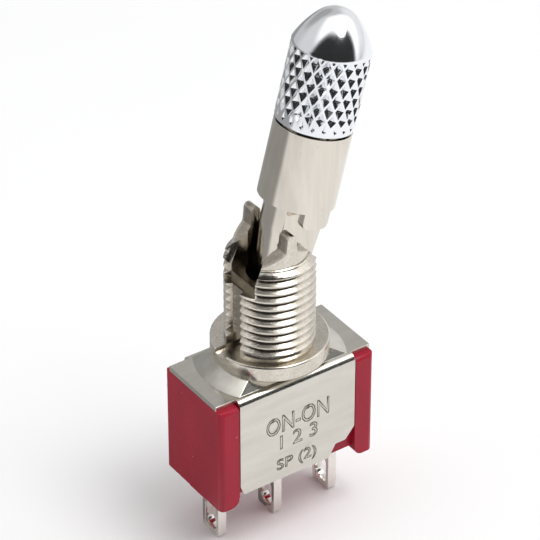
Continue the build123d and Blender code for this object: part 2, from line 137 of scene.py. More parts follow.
# %% [markdown]
# ## Mesh helpers
# A CAD node arrives as loose triangles. A copy is merged, its flat faces are joined, and then
# it can be cut and bevelled like any other mesh.

# %% Copy, cut, soften and place
CAD_MERGE = 0.001
CAD_FLAT = math.radians(0.5)


def add_object(name, mesh):
    """A new object at the origin that shows a mesh."""
    obj = bpy.data.objects.new(name, mesh)
    scene.collection.objects.link(obj)
    return obj


def cad_copy(node, name):
    """A merged copy of a CAD node, in millimetres."""
    bm = bmesh.new()
    bm.from_mesh(frame["nodes"][node].data)
    bmesh.ops.scale(bm, vec=Vector((1, 1, 1)) / MM, verts=bm.verts)
    bmesh.ops.remove_doubles(bm, verts=bm.verts, dist=CAD_MERGE)
    bmesh.ops.dissolve_limit(bm, angle_limit=CAD_FLAT, verts=bm.verts, edges=bm.edges)
    mesh = bpy.data.meshes.new(name)
    bm.to_mesh(mesh)
    bm.free()
    return add_object(name, mesh)


def bake_modifiers(obj):
    """Turn an object's modifiers into its plain mesh."""
    evaluated = obj.evaluated_get(bpy.context.evaluated_depsgraph_get())
    mesh = bpy.data.meshes.new_from_object(evaluated)
    obj.modifiers.clear()
    obj.data = mesh
    mesh.name = obj.name
    return obj


def soften(obj, width, angle=32.0, by_weight=False):
    """A small round along every sharp edge, or along the edges that carry a weight."""
    bevel = obj.modifiers.new("edge", "BEVEL")
    bevel.width = width
    bevel.segments = 2
    bevel.limit_method = "WEIGHT" if by_weight else "ANGLE"
    bevel.angle_limit = math.radians(angle)
    return bake_modifiers(obj)


def weigh_edges(obj, angle=32.0):
    """Give each sharp edge a bevel weight, which it keeps through a boolean."""
    bm = bmesh.new()
    bm.from_mesh(obj.data)
    sharp = [float(e.is_manifold and e.calc_face_angle() > math.radians(angle)) for e in bm.edges]
    bm.free()
    obj.data.attributes.new("bevel_weight_edge", "FLOAT", "EDGE").data.foreach_set("value", sharp)


def cut_away(obj, cutter, use_self=False):
    """Subtract a cutter exactly, and remove it; the cut faces keep the cutter's material."""
    boolean = obj.modifiers.new("cut", "BOOLEAN")
    boolean.operation = "DIFFERENCE"
    boolean.solver = "EXACT"
    boolean.use_self = use_self
    boolean.material_mode = "TRANSFER"
    boolean.object = cutter
    bake_modifiers(obj)
    bpy.data.objects.remove(cutter)
    return obj


def place(obj, body, node, material, angle=30.0):
    """Bring a finished piece from millimetres to the frame, where it stands for a node.

    With no material given, the piece keeps the ones that its faces already have.
    """
    obj.data.transform(Matrix.Scale(MM, 4))
    obj.data.shade_smooth()
    obj.data.set_sharp_from_angle(angle=math.radians(angle))
    weighted = obj.modifiers.new("weighted", "WEIGHTED_NORMAL")
    weighted.keep_sharp = True
    bake_modifiers(obj)
    if material:
        obj.data.materials.clear()
        obj.data.materials.append(material)
    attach(obj, body)
    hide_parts(node)
    print(obj.name, len(obj.data.polygons), "faces on", body)
    return obj


# %% [markdown]
# ## Node helpers
# Shader and geometry trees are built from the same two helpers: one adds a node with its
# values, the other makes a group with named inputs and outputs.

# %% Build node trees
def add(tree, kind, links=None, values=None, **settings):
    """Add a node, set its settings and input values, and link sockets to its inputs."""
    node = tree.nodes.new(kind)
    for key, value in settings.items():
        setattr(node, key, value)
    for key, value in (values or {}).items():
        node.inputs[key].default_value = value
    for key, socket in (links or {}).items():
        tree.links.new(socket, node.inputs[key])
    return node


def new_group(name, kind, inputs, outputs):
    """A node group with named inputs, as {name: (socket type, default)}, and outputs."""
    tree = bpy.data.node_groups.new(name, kind)
    for title, (socket_type, default) in inputs.items():
        socket = tree.interface.new_socket(title, in_out="INPUT", socket_type=socket_type)
        if default is not None:
            socket.default_value = default
    for title, socket_type in outputs.items():
        tree.interface.new_socket(title, in_out="OUTPUT", socket_type=socket_type)
    return tree, tree.nodes.new("NodeGroupInput").outputs, tree.nodes.new("NodeGroupOutput").inputs


def math_node(tree, operation, *terms):
    """One Math node; each term is a number or a socket."""
    node = tree.nodes.new("ShaderNodeMath")
    node.operation = operation
    for slot, term in zip(node.inputs, terms):
        if isinstance(term, bpy.types.NodeSocket):
            tree.links.new(term, slot)
        else:
            slot.default_value = term
    return node.outputs[0]


def run_nodes(obj, tree, **sizes):
    """Run a geometry tree on an object with its sizes set, and keep the plain mesh."""
    modifier = obj.modifiers.new(tree.name, "NODES")
    modifier.node_group = tree
    for item in tree.interface.items_tree:
        if item.in_out == "INPUT" and item.name in sizes:
            modifier[item.identifier] = sizes[item.name]
    return bake_modifiers(obj)


# %% [markdown]
# ## Shared surface effects
# Cast grain, long streaks and dust specks occur on several materials, so each is one group.
# They work in millimetres of Object coordinates, and so stay on the surface when it moves.

# %% Groups for grain, streaks and specks
VECTOR, FLOAT = "NodeSocketVector", "NodeSocketFloat"


def ranged(tree, value, low, high, start=0.0, end=1.0):
    """Map a value from start..end to low..high, clamped."""
    return add(tree, "ShaderNodeMapRange", {"Value": value},
               {"From Min": start, "From Max": end, "To Min": low, "To Max": high}).outputs[0]


def make_grain():
    """Fine cast grain: a bumped normal and a speckle from 0 to 1."""
    tree, inputs, outputs = new_group(
        "cast_grain", "ShaderNodeTree",
        {"Vector": (VECTOR, None), "Size": (FLOAT, 9.0), "Height": (FLOAT, 0.005)},
        {"Normal": VECTOR, "Speckle": FLOAT})
    noise = add(tree, "ShaderNodeTexNoise", {"Vector": inputs["Vector"], "Scale": inputs["Size"]},
                {"Detail": 4.0, "Roughness": 0.6})
    height = math_node(tree, "MULTIPLY", noise.outputs["Fac"], inputs["Height"])
    bump = add(tree, "ShaderNodeBump", {"Height": height}, {"Strength": 1.0, "Distance": MM})
    tree.links.new(bump.outputs["Normal"], outputs["Normal"])
    tree.links.new(ranged(tree, noise.outputs["Fac"], 0, 1, 0.35, 0.65), outputs["Speckle"])
    return tree


def make_streaks():
    """Soft streaks, long where Stretch is small, from 0 to 1."""
    tree, inputs, outputs = new_group(
        "streaks", "ShaderNodeTree",
        {"Vector": (VECTOR, None), "Stretch": (VECTOR, (1.0, 1.0, 1.0))}, {"Value": FLOAT})
    squeezed = add(tree, "ShaderNodeVectorMath", {0: inputs["Vector"], 1: inputs["Stretch"]},
                   operation="MULTIPLY")
    noise = add(tree, "ShaderNodeTexNoise", {"Vector": squeezed.outputs[0]},
                {"Scale": 1.0, "Detail": 3.0, "Roughness": 0.55})
    tree.links.new(ranged(tree, noise.outputs["Fac"], 0, 1, 0.32, 0.68), outputs["Value"])
    return tree


def make_specks():
    """Sparse dust specks and short scuffs, from 0 to 1."""
    tree, inputs, outputs = new_group(
        "specks", "ShaderNodeTree",
        {"Vector": (VECTOR, None), "Per mm": (FLOAT, 1.2), "Size": (FLOAT, 0.05)}, {"Value": FLOAT})
    cells = add(tree, "ShaderNodeTexVoronoi",
                {"Vector": inputs["Vector"], "Scale": inputs["Per mm"]})
    edge = math_node(tree, "SUBTRACT", inputs["Size"], cells.outputs["Distance"])
    tree.links.new(ranged(tree, edge, 0, 1, 0.0, 0.02), outputs["Value"])
    return tree


GRAIN, STREAKS, SPECKS = make_grain(), make_streaks(), make_specks()
print("shared effects:", GRAIN.name, STREAKS.name, SPECKS.name)


# %% [markdown]
# ## Material helpers
# Colours are given as a screen shows them and turned into linear light. Every material works
# in millimetres, so that a grain or a speck has the size that it has on the real piece.

# %% Helpers for materials
def rgb(red, green, blue):
    """A colour given as it shows on a screen, 0 to 255, in linear light."""
    shown = (red / 255, green / 255, blue / 255)
    return tuple(c / 12.92 if c <= 0.04045 else ((c + 0.055) / 1.055) ** 2.4 for c in shown) + (1,)


def grey(level):
    """A neutral colour in linear light."""
    return (level, level, level, 1)


def surface(name, metallic, roughness):
    """A new material: itself, its tree, its shader and its coordinates in millimetres."""
    made = bpy.data.materials.new(name)
    made.use_nodes = True
    tree = made.node_tree
    shader = tree.nodes["Principled BSDF"]
    shader.inputs["Metallic"].default_value = metallic
    shader.inputs["Roughness"].default_value = roughness
    where = add(tree, "ShaderNodeTexCoord").outputs["Object"]
    scaled = add(tree, "ShaderNodeVectorMath", {0: where}, {"Scale": 1 / MM}, operation="SCALE")
    return made, tree, shader, scaled.outputs[0]


def shared(tree, group, where, **values):
    """Place a shared group in a material."""
    node = add(tree, "ShaderNodeGroup", node_tree=group)
    tree.links.new(where, node.inputs["Vector"])
    for key, value in values.items():
        node.inputs[key.replace("_", " ")].default_value = value
    return node.outputs


MIX_FACTOR, MIX_LOW, MIX_HIGH, MIX_RESULT = 0, 6, 7, 2  # a Mix node's sockets for colours


def blend(tree, factor, low, high):
    """Mix two colours; each is a colour or a socket."""
    node = add(tree, "ShaderNodeMix", data_type="RGBA")
    for slot, value in ((MIX_FACTOR, factor), (MIX_LOW, low), (MIX_HIGH, high)):
        if isinstance(value, bpy.types.NodeSocket):
            tree.links.new(value, node.inputs[slot])
        else:
            node.inputs[slot].default_value = value
    return node.outputs[MIX_RESULT]


# %% [markdown]
# ## Metals
# Most of the switch is die-cast or pressed metal under satin nickel: a warm grey with a fine
# grain, faint handling streaks and a few scuffs. One recipe makes them all.

# %% Satin plating and its variants
def plated(name, light, dark, rough, grain_size=9.0, grain_height=0.005,
           stretch=(1.0, 1.0, 0.2), wear=0.5, speckle=0.2, base=None):
    """Satin plating over a cast or pressed surface."""
    made, tree, shader, where = surface(name, 1.0, rough)
    grain = shared(tree, GRAIN, where, Size=grain_size, Height=grain_height)
    streak = shared(tree, STREAKS, where, Stretch=stretch)
    tone = blend(tree, math_node(tree, "MULTIPLY", streak["Value"], wear), light, dark)
    tone = blend(tree, math_node(tree, "MULTIPLY", grain["Speckle"], speckle), tone, dark)
    if base:
        tone = base(tree, where, tone)
    tree.links.new(tone, shader.inputs["Base Color"])
    tree.links.new(ranged(tree, grain["Speckle"], rough * 0.8, rough * 1.25),
                   shader.inputs["Roughness"])
    tree.links.new(grain["Normal"], shader.inputs["Normal"])
    return made


def height_of(tree, where):
    """The height above the panel seat, in millimetres."""
    return add(tree, "ShaderNodeSeparateXYZ", {0: where}).outputs["Z"]


case_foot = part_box("case")[0].z / MM
BLUSH = {"amount": 0.75, "ends": case_foot + 0.2, "full": case_foot + 0.6, "wander": 2.2}


def pink_towards_case(tree, where, tone):
    """The terminals turn pinker towards the top, next to the case, with a wandering edge."""
    wander = add(tree, "ShaderNodeTexNoise", {"Vector": where}, {"Scale": BLUSH["wander"]})
    level = math_node(tree, "ADD", height_of(tree, where), wander.outputs["Fac"])
    factor = ranged(tree, level, 0.0, BLUSH["amount"], BLUSH["ends"], BLUSH["full"])
    return blend(tree, factor, tone, rgb(178, 70, 86))


def radius_of(tree, where):
    """The distance from the bushing's axis, in millimetres."""
    flat = add(tree, "ShaderNodeVectorMath", {0: where}, {1: (1, 1, 0)}, operation="MULTIPLY")
    length = add(tree, "ShaderNodeVectorMath", {0: flat.outputs[0]}, operation="LENGTH")
    return length.outputs["Value"]


# The heights and radii are in millimetres; the other values run from 0 to 1.
ROOT_SHADE_AND_TARNISH = {"amount": 0.62, "least": 0.6, "root": 2.82, "crest": 3.08,
           "thread_end": 6.3, "ears": 6.8, "ears_offset": 0.5}


def root_shade_and_tarnish(tree, where, tone):
    """Brown tarnish and painted shade: darker in the thread's roots and inside the ears, where shade
    falls.
    """
    above_thread = ranged(tree, height_of(tree, where), 0.0, ROOT_SHADE_AND_TARNISH["ears_offset"],
                          ROOT_SHADE_AND_TARNISH["thread_end"], ROOT_SHADE_AND_TARNISH["ears"])
    # Painted shade: the colour darkens nearer the axis, so the thread's roots and the ears' inner
    # faces look shaded.
    depth = math_node(tree, "ADD", radius_of(tree, where), above_thread)
    deep = ranged(tree, depth, ROOT_SHADE_AND_TARNISH["amount"], 0.0, ROOT_SHADE_AND_TARNISH["root"], ROOT_SHADE_AND_TARNISH["crest"])
    patchy = shared(tree, STREAKS, where, Stretch=(1.1, 1.1, 1.6))["Value"]
    factor = math_node(tree, "MULTIPLY", deep, ranged(tree, patchy, ROOT_SHADE_AND_TARNISH["least"], 1.0))
    return blend(tree, factor, tone, rgb(118, 105, 88))


PITS = {"amount": 0.55, "per_mm": 1.9, "size": 0.07, "stretch": (0.6, 1.0, 1.0)}


def fine_pits(tree, where, tone):
    """Tiny dark pits and nicks in a drawn tube."""
    long = add(tree, "ShaderNodeVectorMath", {0: where}, {1: PITS["stretch"]}, operation="MULTIPLY")
    nicks = shared(tree, SPECKS, long.outputs[0], Per_mm=PITS["per_mm"], Size=PITS["size"])
    factor = math_node(tree, "MULTIPLY", nicks["Value"], PITS["amount"])
    return blend(tree, factor, tone, rgb(118, 108, 96))


nickel_bright = plated("nickel_bright", rgb(224, 218, 208), rgb(190, 182, 169), 0.11,
                       grain_height=0.0012, stretch=(1.3, 1.3, 0.1), wear=0.45, speckle=0.06,
                       base=fine_pits)
nickel_cast = plated("nickel_cast", rgb(226, 220, 209), rgb(136, 127, 113), 0.19,
                     grain_size=6.0, grain_height=0.008, wear=0.2, speckle=0.28,
                     base=root_shade_and_tarnish)
nickel_sheet = plated("nickel_sheet", rgb(216, 213, 205), rgb(180, 174, 164), 0.2,
                      grain_size=10.0, grain_height=0.0012, stretch=(0.25, 1.0, 1.6), wear=0.3,
                      speckle=0.08)
# Painted shade: this material's darker colour, on the groove walls of the stamped marks, stands in
# for shade in the grooves.
struck_edge = plated("struck_edge", rgb(146, 138, 124), rgb(104, 96, 84), 0.4, speckle=0.3)
tinned = plated("tinned", rgb(248, 246, 241), rgb(206, 201, 193), 0.18, grain_size=6.0,
                grain_height=0.005, wear=0.35, base=pink_towards_case)
chrome_bright = plated("chrome_bright", rgb(240, 242, 245), rgb(210, 214, 221), 0.11,
                       grain_size=13.0, grain_height=0.0024, wear=0.15, speckle=0.08)
spring_steel = plated("spring_steel", rgb(190, 190, 192), rgb(110, 110, 112), 0.3)
silver_plate = plated("silver_plate", rgb(230, 226, 216), rgb(180, 172, 156), 0.25)
METALS = (nickel_bright, nickel_cast, nickel_sheet, struck_edge, tinned, chrome_bright,
          spring_steel, silver_plate)
print("metals:", *(metal.name for metal in METALS))


# %% [markdown]
# ## Plastics
# The case is a crimson moulding with a faint skin texture, slow changes of tone where the
# plastic flowed, and specks of dust. The plunger inside is a plain dark moulding, and the seal
# under the case is amber resin.

# %% Moulded plastics and the seal
PLASTIC_SHINE = 0.32
DUST_COLOUR = (225, 170, 180)


def moulded(name, light, dark, rough, dust=0.0):
    """Moulded plastic with flow marks, skin texture and dust."""
    made, tree, shader, where = surface(name, 0.0, rough)
    shader.inputs["Specular IOR Level"].default_value = PLASTIC_SHINE
    grain = shared(tree, GRAIN, where, Size=6.0, Height=0.003)
    flow = shared(tree, STREAKS, where, Stretch=(0.3, 0.3, 0.12))
    tone = blend(tree, flow["Value"], light, dark)
    specks = shared(tree, SPECKS, where, Per_mm=0.75, Size=0.05)
    tone = blend(tree, math_node(tree, "MULTIPLY", specks["Value"], dust), tone, rgb(*DUST_COLOUR))
    tree.links.new(tone, shader.inputs["Base Color"])
    tree.links.new(ranged(tree, grain["Speckle"], rough * 0.85, rough * 1.2),
                   shader.inputs["Roughness"])
    tree.links.new(grain["Normal"], shader.inputs["Normal"])
    return made


crimson_plastic = moulded("crimson_plastic", rgb(172, 14, 47), rgb(154, 9, 40), 0.34, dust=0.6)
dark_plastic = moulded("dark_plastic", rgb(52, 50, 50), rgb(40, 38, 38), 0.5)
amber_seal = moulded("amber_seal", rgb(120, 62, 40), rgb(98, 48, 32), 0.3)
print("plastics:", crimson_plastic.name, dark_plastic.name, amber_seal.name)

# %% [markdown]
# ## The threaded bushing
# The CAD bushing has a plain barrel. A real one carries a fine vee thread from just above its
# flange to its chamfer. The groove is a trapezoid swept along a helix, which a geometry tree
# does well, and an exact boolean takes it out of the barrel, so the thread stops cleanly at
# the keyway, the slots and the ears.

# %% Cut the thread
THREAD = {"Pitch": 0.635, "Root radius": 2.80, "Root width": 0.05, "Mouth width": 0.575,
          "Reach": 0.375, "Start": 0.36, "Turns": 11.0}
THREAD_STEPS = 84


def make_groove_tree(material_name):
    """A helical groove cutter: a trapezoid that follows a spiral."""
    inputs = {title: (FLOAT, value) for title, value in THREAD.items()}
    tree, sizes, outputs = new_group("thread_groove", "GeometryNodeTree", inputs,
                                     {"Mesh": "NodeSocketGeometry"})
    rise = math_node(tree, "MULTIPLY", sizes["Pitch"], sizes["Turns"])
    spiral = add(tree, "GeometryNodeCurveSpiral",
                 {"Rotations": sizes["Turns"], "Start Radius": sizes["Root radius"],
                  "End Radius": sizes["Root radius"], "Height": rise},
                 {"Resolution": THREAD_STEPS})
    upright = add(tree, "GeometryNodeSetCurveNormal", {0: spiral.outputs[0]}, mode="Z_UP")
    section = add(tree, "GeometryNodeCurvePrimitiveQuadrilateral",
                  {"Bottom Width": sizes["Root width"], "Top Width": sizes["Mouth width"],
                   "Height": sizes["Reach"]}, {"Offset": 0.0}, mode="TRAPEZOID")
    half = math_node(tree, "MULTIPLY", sizes["Reach"], -0.5)
    shift = add(tree, "ShaderNodeCombineXYZ", {"X": half})
    turned = add(tree, "GeometryNodeTransform",
                 {"Geometry": section.outputs[0], "Translation": shift.outputs[0]},
                 {"Rotation": (0, 0, math.radians(90))})
    swept = add(tree, "GeometryNodeCurveToMesh",
                {"Curve": upright.outputs[0], "Profile Curve": turned.outputs[0]},
                {"Fill Caps": True})
    lifted = add(tree, "ShaderNodeCombineXYZ", {"Z": sizes["Start"]})
    placed = add(tree, "GeometryNodeTransform",
                 {"Geometry": swept.outputs[0], "Translation": lifted.outputs[0]})
    real = add(tree, "GeometryNodeRealizeInstances", {0: placed.outputs[0]})
    coated = add(tree, "GeometryNodeSetMaterial", {"Geometry": real.outputs[0]},
                 {"Material": bpy.data.materials[material_name]})
    tree.links.new(coated.outputs[0], outputs["Mesh"])
    return tree


def fix_normals(obj):
    """Merge doubles and turn every face outwards."""
    bm = bmesh.new()
    bm.from_mesh(obj.data)
    bmesh.ops.remove_doubles(bm, verts=bm.verts, dist=0.0001)
    bmesh.ops.recalc_face_normals(bm, faces=bm.faces)
    open_edges = sum(1 for e in bm.edges if not e.is_manifold)
    bm.to_mesh(obj.data)
    bm.free()
    print(obj.name, "has", open_edges, "open edges")
    return obj


groove = add_object("thread_cutter", bpy.data.meshes.new("thread_cutter"))
run_nodes(groove, make_groove_tree("nickel_cast"))
fix_normals(groove)
bushing = cut_away(cad_copy("bushing", "threaded_bushing"), groove)
soften(bushing, 0.03, angle=34)
place(bushing, "housing", "bushing", nickel_cast)

# %% [markdown]
# ## The knurled cap
# The cap is turned from bar: a rounded foot, a straight band for the knurl, a narrow rim, and
# a curved shoulder that runs into a round nose. Spinning half of its section about the
# lever's axis makes it just as a lathe does, and keeps its bore open for the collar.

# %% Turn the cap
# Sizes are in millimetres, and the shoulder ends at an angle in degrees.
CAP = {"rim": 0.15, "shoulder": 44.0, "nose": 1.90, "edge": 0.16, "bore_depth": 4.43}
KNURL = {"Around": 22, "Rows": 8, "Row height": 0.75, "First row": 0.50, "Depth": 0.31,
         "Land": 0.11, "Fade start": 0.95, "Fade end": 0.15}
BAND_HEIGHT = 5.45
EDGE_STEPS, SHOULDER_STEPS, NOSE_STEPS, TURN_STEPS = 6, 16, 20, 132
band_top = cap_foot + BAND_HEIGHT


def cap_profile():
    """Half the cap's section, from the bore's floor round to the nose, as (radius, height)."""
    shoulder = math.radians(CAP["shoulder"])
    nose_height = cap_top - CAP["nose"]
    points = [(0, cap_foot + CAP["bore_depth"]), (cap_bore, cap_foot + CAP["bore_depth"]),
              (cap_bore, cap_foot)]
    for step in range(EDGE_STEPS + 1):
        turn = math.radians(90 * step / EDGE_STEPS)
        points.append((cap_radius - CAP["edge"] * (1 - math.sin(turn)),
                       cap_foot + CAP["edge"] * (1 - math.cos(turn))))
    points.append((cap_radius, band_top))
    start = Vector((cap_radius, band_top + CAP["rim"]))
    end = Vector((CAP["nose"] * math.cos(shoulder), nose_height + CAP["nose"] * math.sin(shoulder)))
    chord = end - start
    slope = math.atan2(-chord.x, chord.y)
    bend = 2 * (shoulder - slope)
    radius = chord.length / (2 * math.sin(bend / 2))
    centre = end - Vector((math.cos(shoulder), math.sin(shoulder))) * radius
    for step in range(SHOULDER_STEPS + 1):
        turn = shoulder - bend * (1 - step / SHOULDER_STEPS)
        points.append(tuple(centre + Vector((math.cos(turn), math.sin(turn))) * radius))
    for step in range(1, NOSE_STEPS + 1):
        turn = shoulder + (math.pi / 2 - shoulder) * step / NOSE_STEPS
        points.append((CAP["nose"] * math.cos(turn), nose_height + CAP["nose"] * math.sin(turn)))
    return points


def turn_profile(name, points, steps):
    """Turn a section about the upright axis into a closed solid."""
    bm = bmesh.new()
    corners = [bm.verts.new((radius, 0, height)) for radius, height in points]
    edges = [bm.edges.new(pair) for pair in zip(corners, corners[1:])]
    bmesh.ops.spin(bm, geom=corners + edges, cent=(0, 0, 0), axis=(0, 0, 1),
                   angle=math.tau, steps=steps, use_merge=True)
    bmesh.ops.remove_doubles(bm, verts=bm.verts, dist=0.0005)
    bmesh.ops.recalc_face_normals(bm, faces=bm.faces)
    mesh = bpy.data.meshes.new(name)
    bm.to_mesh(mesh)
    bm.free()
    return add_object(name, mesh)


cap = turn_profile("knurled_cap", cap_profile(), TURN_STEPS)
print(cap.name, "turned with", len(cap.data.polygons), "faces")


# %% [markdown]
# ## The knurl
# A knurling wheel presses rows of diamond pits into the band and leaves narrow ridges between
# them. A geometry tree lays one pit on every point of a staggered grid, wraps the flat sheet
# of pits round the band, and lifts the lowest rows so that they fade out, as they do where
# the wheel starts. Real pits catch the light in a way that a bump in the material can't.

# %% Press the knurl
PIT_MOUTH = 0.02


def make_pit():
    """One pit: a four-sided point that looks inwards, with its mouth just above the surface."""
    mesh = bpy.data.meshes.new("knurl_pit")
    wide = math.tau * cap_radius / KNURL["Around"] / 2 - KNURL["Land"] / 2
    high = KNURL["Row height"] - KNURL["Land"] / 2 * KNURL["Row height"] / wide
    corners = [(-wide, 0, PIT_MOUTH), (0, -high, PIT_MOUTH), (wide, 0, PIT_MOUTH),
               (0, high, PIT_MOUTH), (0, 0, -KNURL["Depth"])]
    mesh.from_pydata(corners, [], [(0, 1, 2), (0, 2, 3), (1, 0, 4), (2, 1, 4), (3, 2, 4), (0, 3, 4)])
    return add_object("knurl_pit", mesh)


def make_knurl_tree(pit, material_name):
    """Lay pits on a staggered grid, then wrap the sheet round the band."""
    inputs = {"Radius": (FLOAT, cap_radius)}
    for title, value in KNURL.items():
        inputs[title] = ("NodeSocketInt" if isinstance(value, int) else FLOAT, value)
    tree, sizes, outputs = new_group("knurled_band", "GeometryNodeTree", inputs,
                                     {"Mesh": "NodeSocketGeometry"})
    count = math_node(tree, "MULTIPLY", sizes["Around"], sizes["Rows"])
    points = add(tree, "GeometryNodePoints", {"Count": count})
    number = add(tree, "GeometryNodeInputIndex").outputs[0]
    row = math_node(tree, "FLOOR", math_node(tree, "DIVIDE", number, sizes["Around"]))
    column = math_node(tree, "MODULO", number, sizes["Around"])
    stagger = math_node(tree, "MULTIPLY", math_node(tree, "MODULO", row, 2.0), 0.5)
    girth = math_node(tree, "MULTIPLY", sizes["Radius"], math.tau)
    width = math_node(tree, "DIVIDE", girth, sizes["Around"])
    across = math_node(tree, "MULTIPLY", math_node(tree, "ADD", column, stagger), width)
    up = math_node(tree, "MULTIPLY_ADD", row, sizes["Row height"], sizes["First row"])
    spot = add(tree, "ShaderNodeCombineXYZ", {"X": across, "Y": up})
    laid = add(tree, "GeometryNodeSetPosition",
               {"Geometry": points.outputs[0], "Position": spot.outputs[0]})
    source = add(tree, "GeometryNodeObjectInfo", values={"Object": pit})
    pits = add(tree, "GeometryNodeInstanceOnPoints",
               {"Points": laid.outputs[0], "Instance": source.outputs["Geometry"]})
    real = add(tree, "GeometryNodeRealizeInstances", {0: pits.outputs[0]})
    position = add(tree, "GeometryNodeInputPosition").outputs[0]
    flat = add(tree, "ShaderNodeSeparateXYZ", {0: position})
    fade = add(tree, "ShaderNodeMapRange",
               {"Value": flat.outputs["Y"], "From Min": sizes["Fade end"],
                "From Max": sizes["Fade start"], "To Min": sizes["Depth"]}, {"To Max": 0.0})
    lifted = math_node(tree, "ADD", flat.outputs["Z"], fade.outputs[0])
    radius = math_node(tree, "ADD", lifted, sizes["Radius"])
    angle = math_node(tree, "DIVIDE", flat.outputs["X"], sizes["Radius"])
    wrapped = add(tree, "ShaderNodeCombineXYZ",
                  {"X": math_node(tree, "MULTIPLY", radius, math_node(tree, "COSINE", angle)),
                   "Y": math_node(tree, "MULTIPLY", radius, math_node(tree, "SINE", angle)),
                   "Z": flat.outputs["Y"]})
    bent = add(tree, "GeometryNodeSetPosition",
               {"Geometry": real.outputs[0], "Position": wrapped.outputs[0]})
    coated = add(tree, "GeometryNodeSetMaterial", {"Geometry": bent.outputs[0]},
                 {"Material": bpy.data.materials[material_name]})
    tree.links.new(coated.outputs[0], outputs["Mesh"])
    return tree


def trim_above(obj, height):
    """Cut a mesh off at a height and close the cut faces."""
    bm = bmesh.new()
    bm.from_mesh(obj.data)
    cut = bmesh.ops.bisect_plane(bm, geom=bm.verts[:] + bm.edges[:] + bm.faces[:], dist=1e-5,
                                 plane_co=(0, 0, height), plane_no=(0, 0, 1), clear_outer=True)
    rim = [g for g in cut["geom_cut"] if isinstance(g, bmesh.types.BMEdge)]
    bmesh.ops.holes_fill(bm, edges=rim, sides=0)
    bmesh.ops.recalc_face_normals(bm, faces=bm.faces)
    bm.to_mesh(obj.data)
    bm.free()


pit = make_pit()
knurl = add_object("knurl_cutter", bpy.data.meshes.new("knurl_cutter"))
run_nodes(knurl, make_knurl_tree(pit, "chrome_bright"))
bpy.data.objects.remove(pit)
knurl.data.transform(Matrix.Translation((0, 0, cap_foot)))
trim_above(knurl, band_top)
fix_normals(knurl)
cut_away(cap, knurl)
soften(cap, 0.025, angle=25)
cap.data.transform(lever_matrix)
place(cap, "lock", "cap", chrome_bright, angle=40)

# %% [markdown]
# ## The stamped frame
# The sheet-metal frame is struck with marks whose outlines are fine grooves. The marks here
# are plain words for its positions, its terminals' numbers and its poles. Text gives the
# outlines, a geometry tree sweeps a small four-sided section along them, and the boolean
# presses them into the front skirt. There the groove walls keep a darker, rougher material of
# their own: the roughness is the struck metal, and the darker colour is painted shade.

# %% Strike the marks
# Each mark: its words, the size of its letters, its width, its centre and its base line.
MARKS = (("ON-ON", 2.05, 5.2, 0.0, -5.80),
         ("1 2 3", 1.65, 3.1, -0.05, -7.25),
         ("SP (2)", 1.25, 3.3, -0.1, -8.98))
MARK_GROOVE = 0.046
MARK_CURVE_STEPS = 3
FRAME_SHARP = 20


def make_outline_tree(material_name):
    """Sweep a small four-sided section along the edges of a flat mesh."""
    tree, sizes, outputs = new_group(
        "mark_outline", "GeometryNodeTree",
        {"Mesh": ("NodeSocketGeometry", None), "Groove": (FLOAT, MARK_GROOVE)},
        {"Mesh": "NodeSocketGeometry"})
    path = add(tree, "GeometryNodeMeshToCurve", {0: sizes["Mesh"]})
    section = add(tree, "GeometryNodeCurvePrimitiveCircle", {"Radius": sizes["Groove"]},
                  {"Resolution": 4})
    swept = add(tree, "GeometryNodeCurveToMesh",
                {"Curve": path.outputs[0], "Profile Curve": section.outputs[0]})
    real = add(tree, "GeometryNodeRealizeInstances", {0: swept.outputs[0]})
    coated = add(tree, "GeometryNodeSetMaterial", {"Geometry": real.outputs[0]},
                 {"Material": bpy.data.materials[material_name]})
    tree.links.new(coated.outputs[0], outputs["Mesh"])
    return tree


def mark_outline(words, size, width, centre, base, face):
    """The outline of some words, upright on the front skirt."""
    text = bpy.data.curves.new("mark", "FONT")
    text.body = words
    text.size = size
    text.align_x = "CENTER"
    text.resolution_u = MARK_CURVE_STEPS
    text.fill_mode = "NONE"
    holder = add_object("mark_" + words.split()[0].lower(), text)
    evaluated = holder.evaluated_get(bpy.context.evaluated_depsgraph_get())
    mesh = bpy.data.meshes.new_from_object(evaluated)
    bpy.data.objects.remove(holder)
    reach = max(v.co.x for v in mesh.vertices) - min(v.co.x for v in mesh.vertices)
    mesh.transform(Matrix.Scale(width / reach, 4, (1, 0, 0)))
    mesh.transform(Matrix.Rotation(math.radians(90), 4, "X"))
    mesh.transform(Matrix.Translation((centre, face, base)))
    return mesh


stamped = cad_copy("frame", "stamped_frame")
skirt_face = min(v.co.y for v in stamped.data.vertices)
stamped.data.materials.clear()
stamped.data.materials.append(nickel_sheet)
outline_tree = make_outline_tree("struck_edge")
weigh_edges(stamped, FRAME_SHARP)
for words, size, width, centre, base in MARKS:
    mark = mark_outline(words, size, width, centre, base, skirt_face)
    outline = add_object("outline_cutter", mark)
    run_nodes(outline, outline_tree)
    fix_normals(outline)
    cut_away(stamped, outline, use_self=True)
soften(stamped, 0.04, by_weight=True)
place(stamped, "housing", "frame", None, angle=18)

# %% [markdown]
# ## The other visible pieces
# These CAD nodes have the right shape and only need their edges rounded, because no pressed,
# turned or moulded edge is truly sharp and a rounded one catches a line of light.

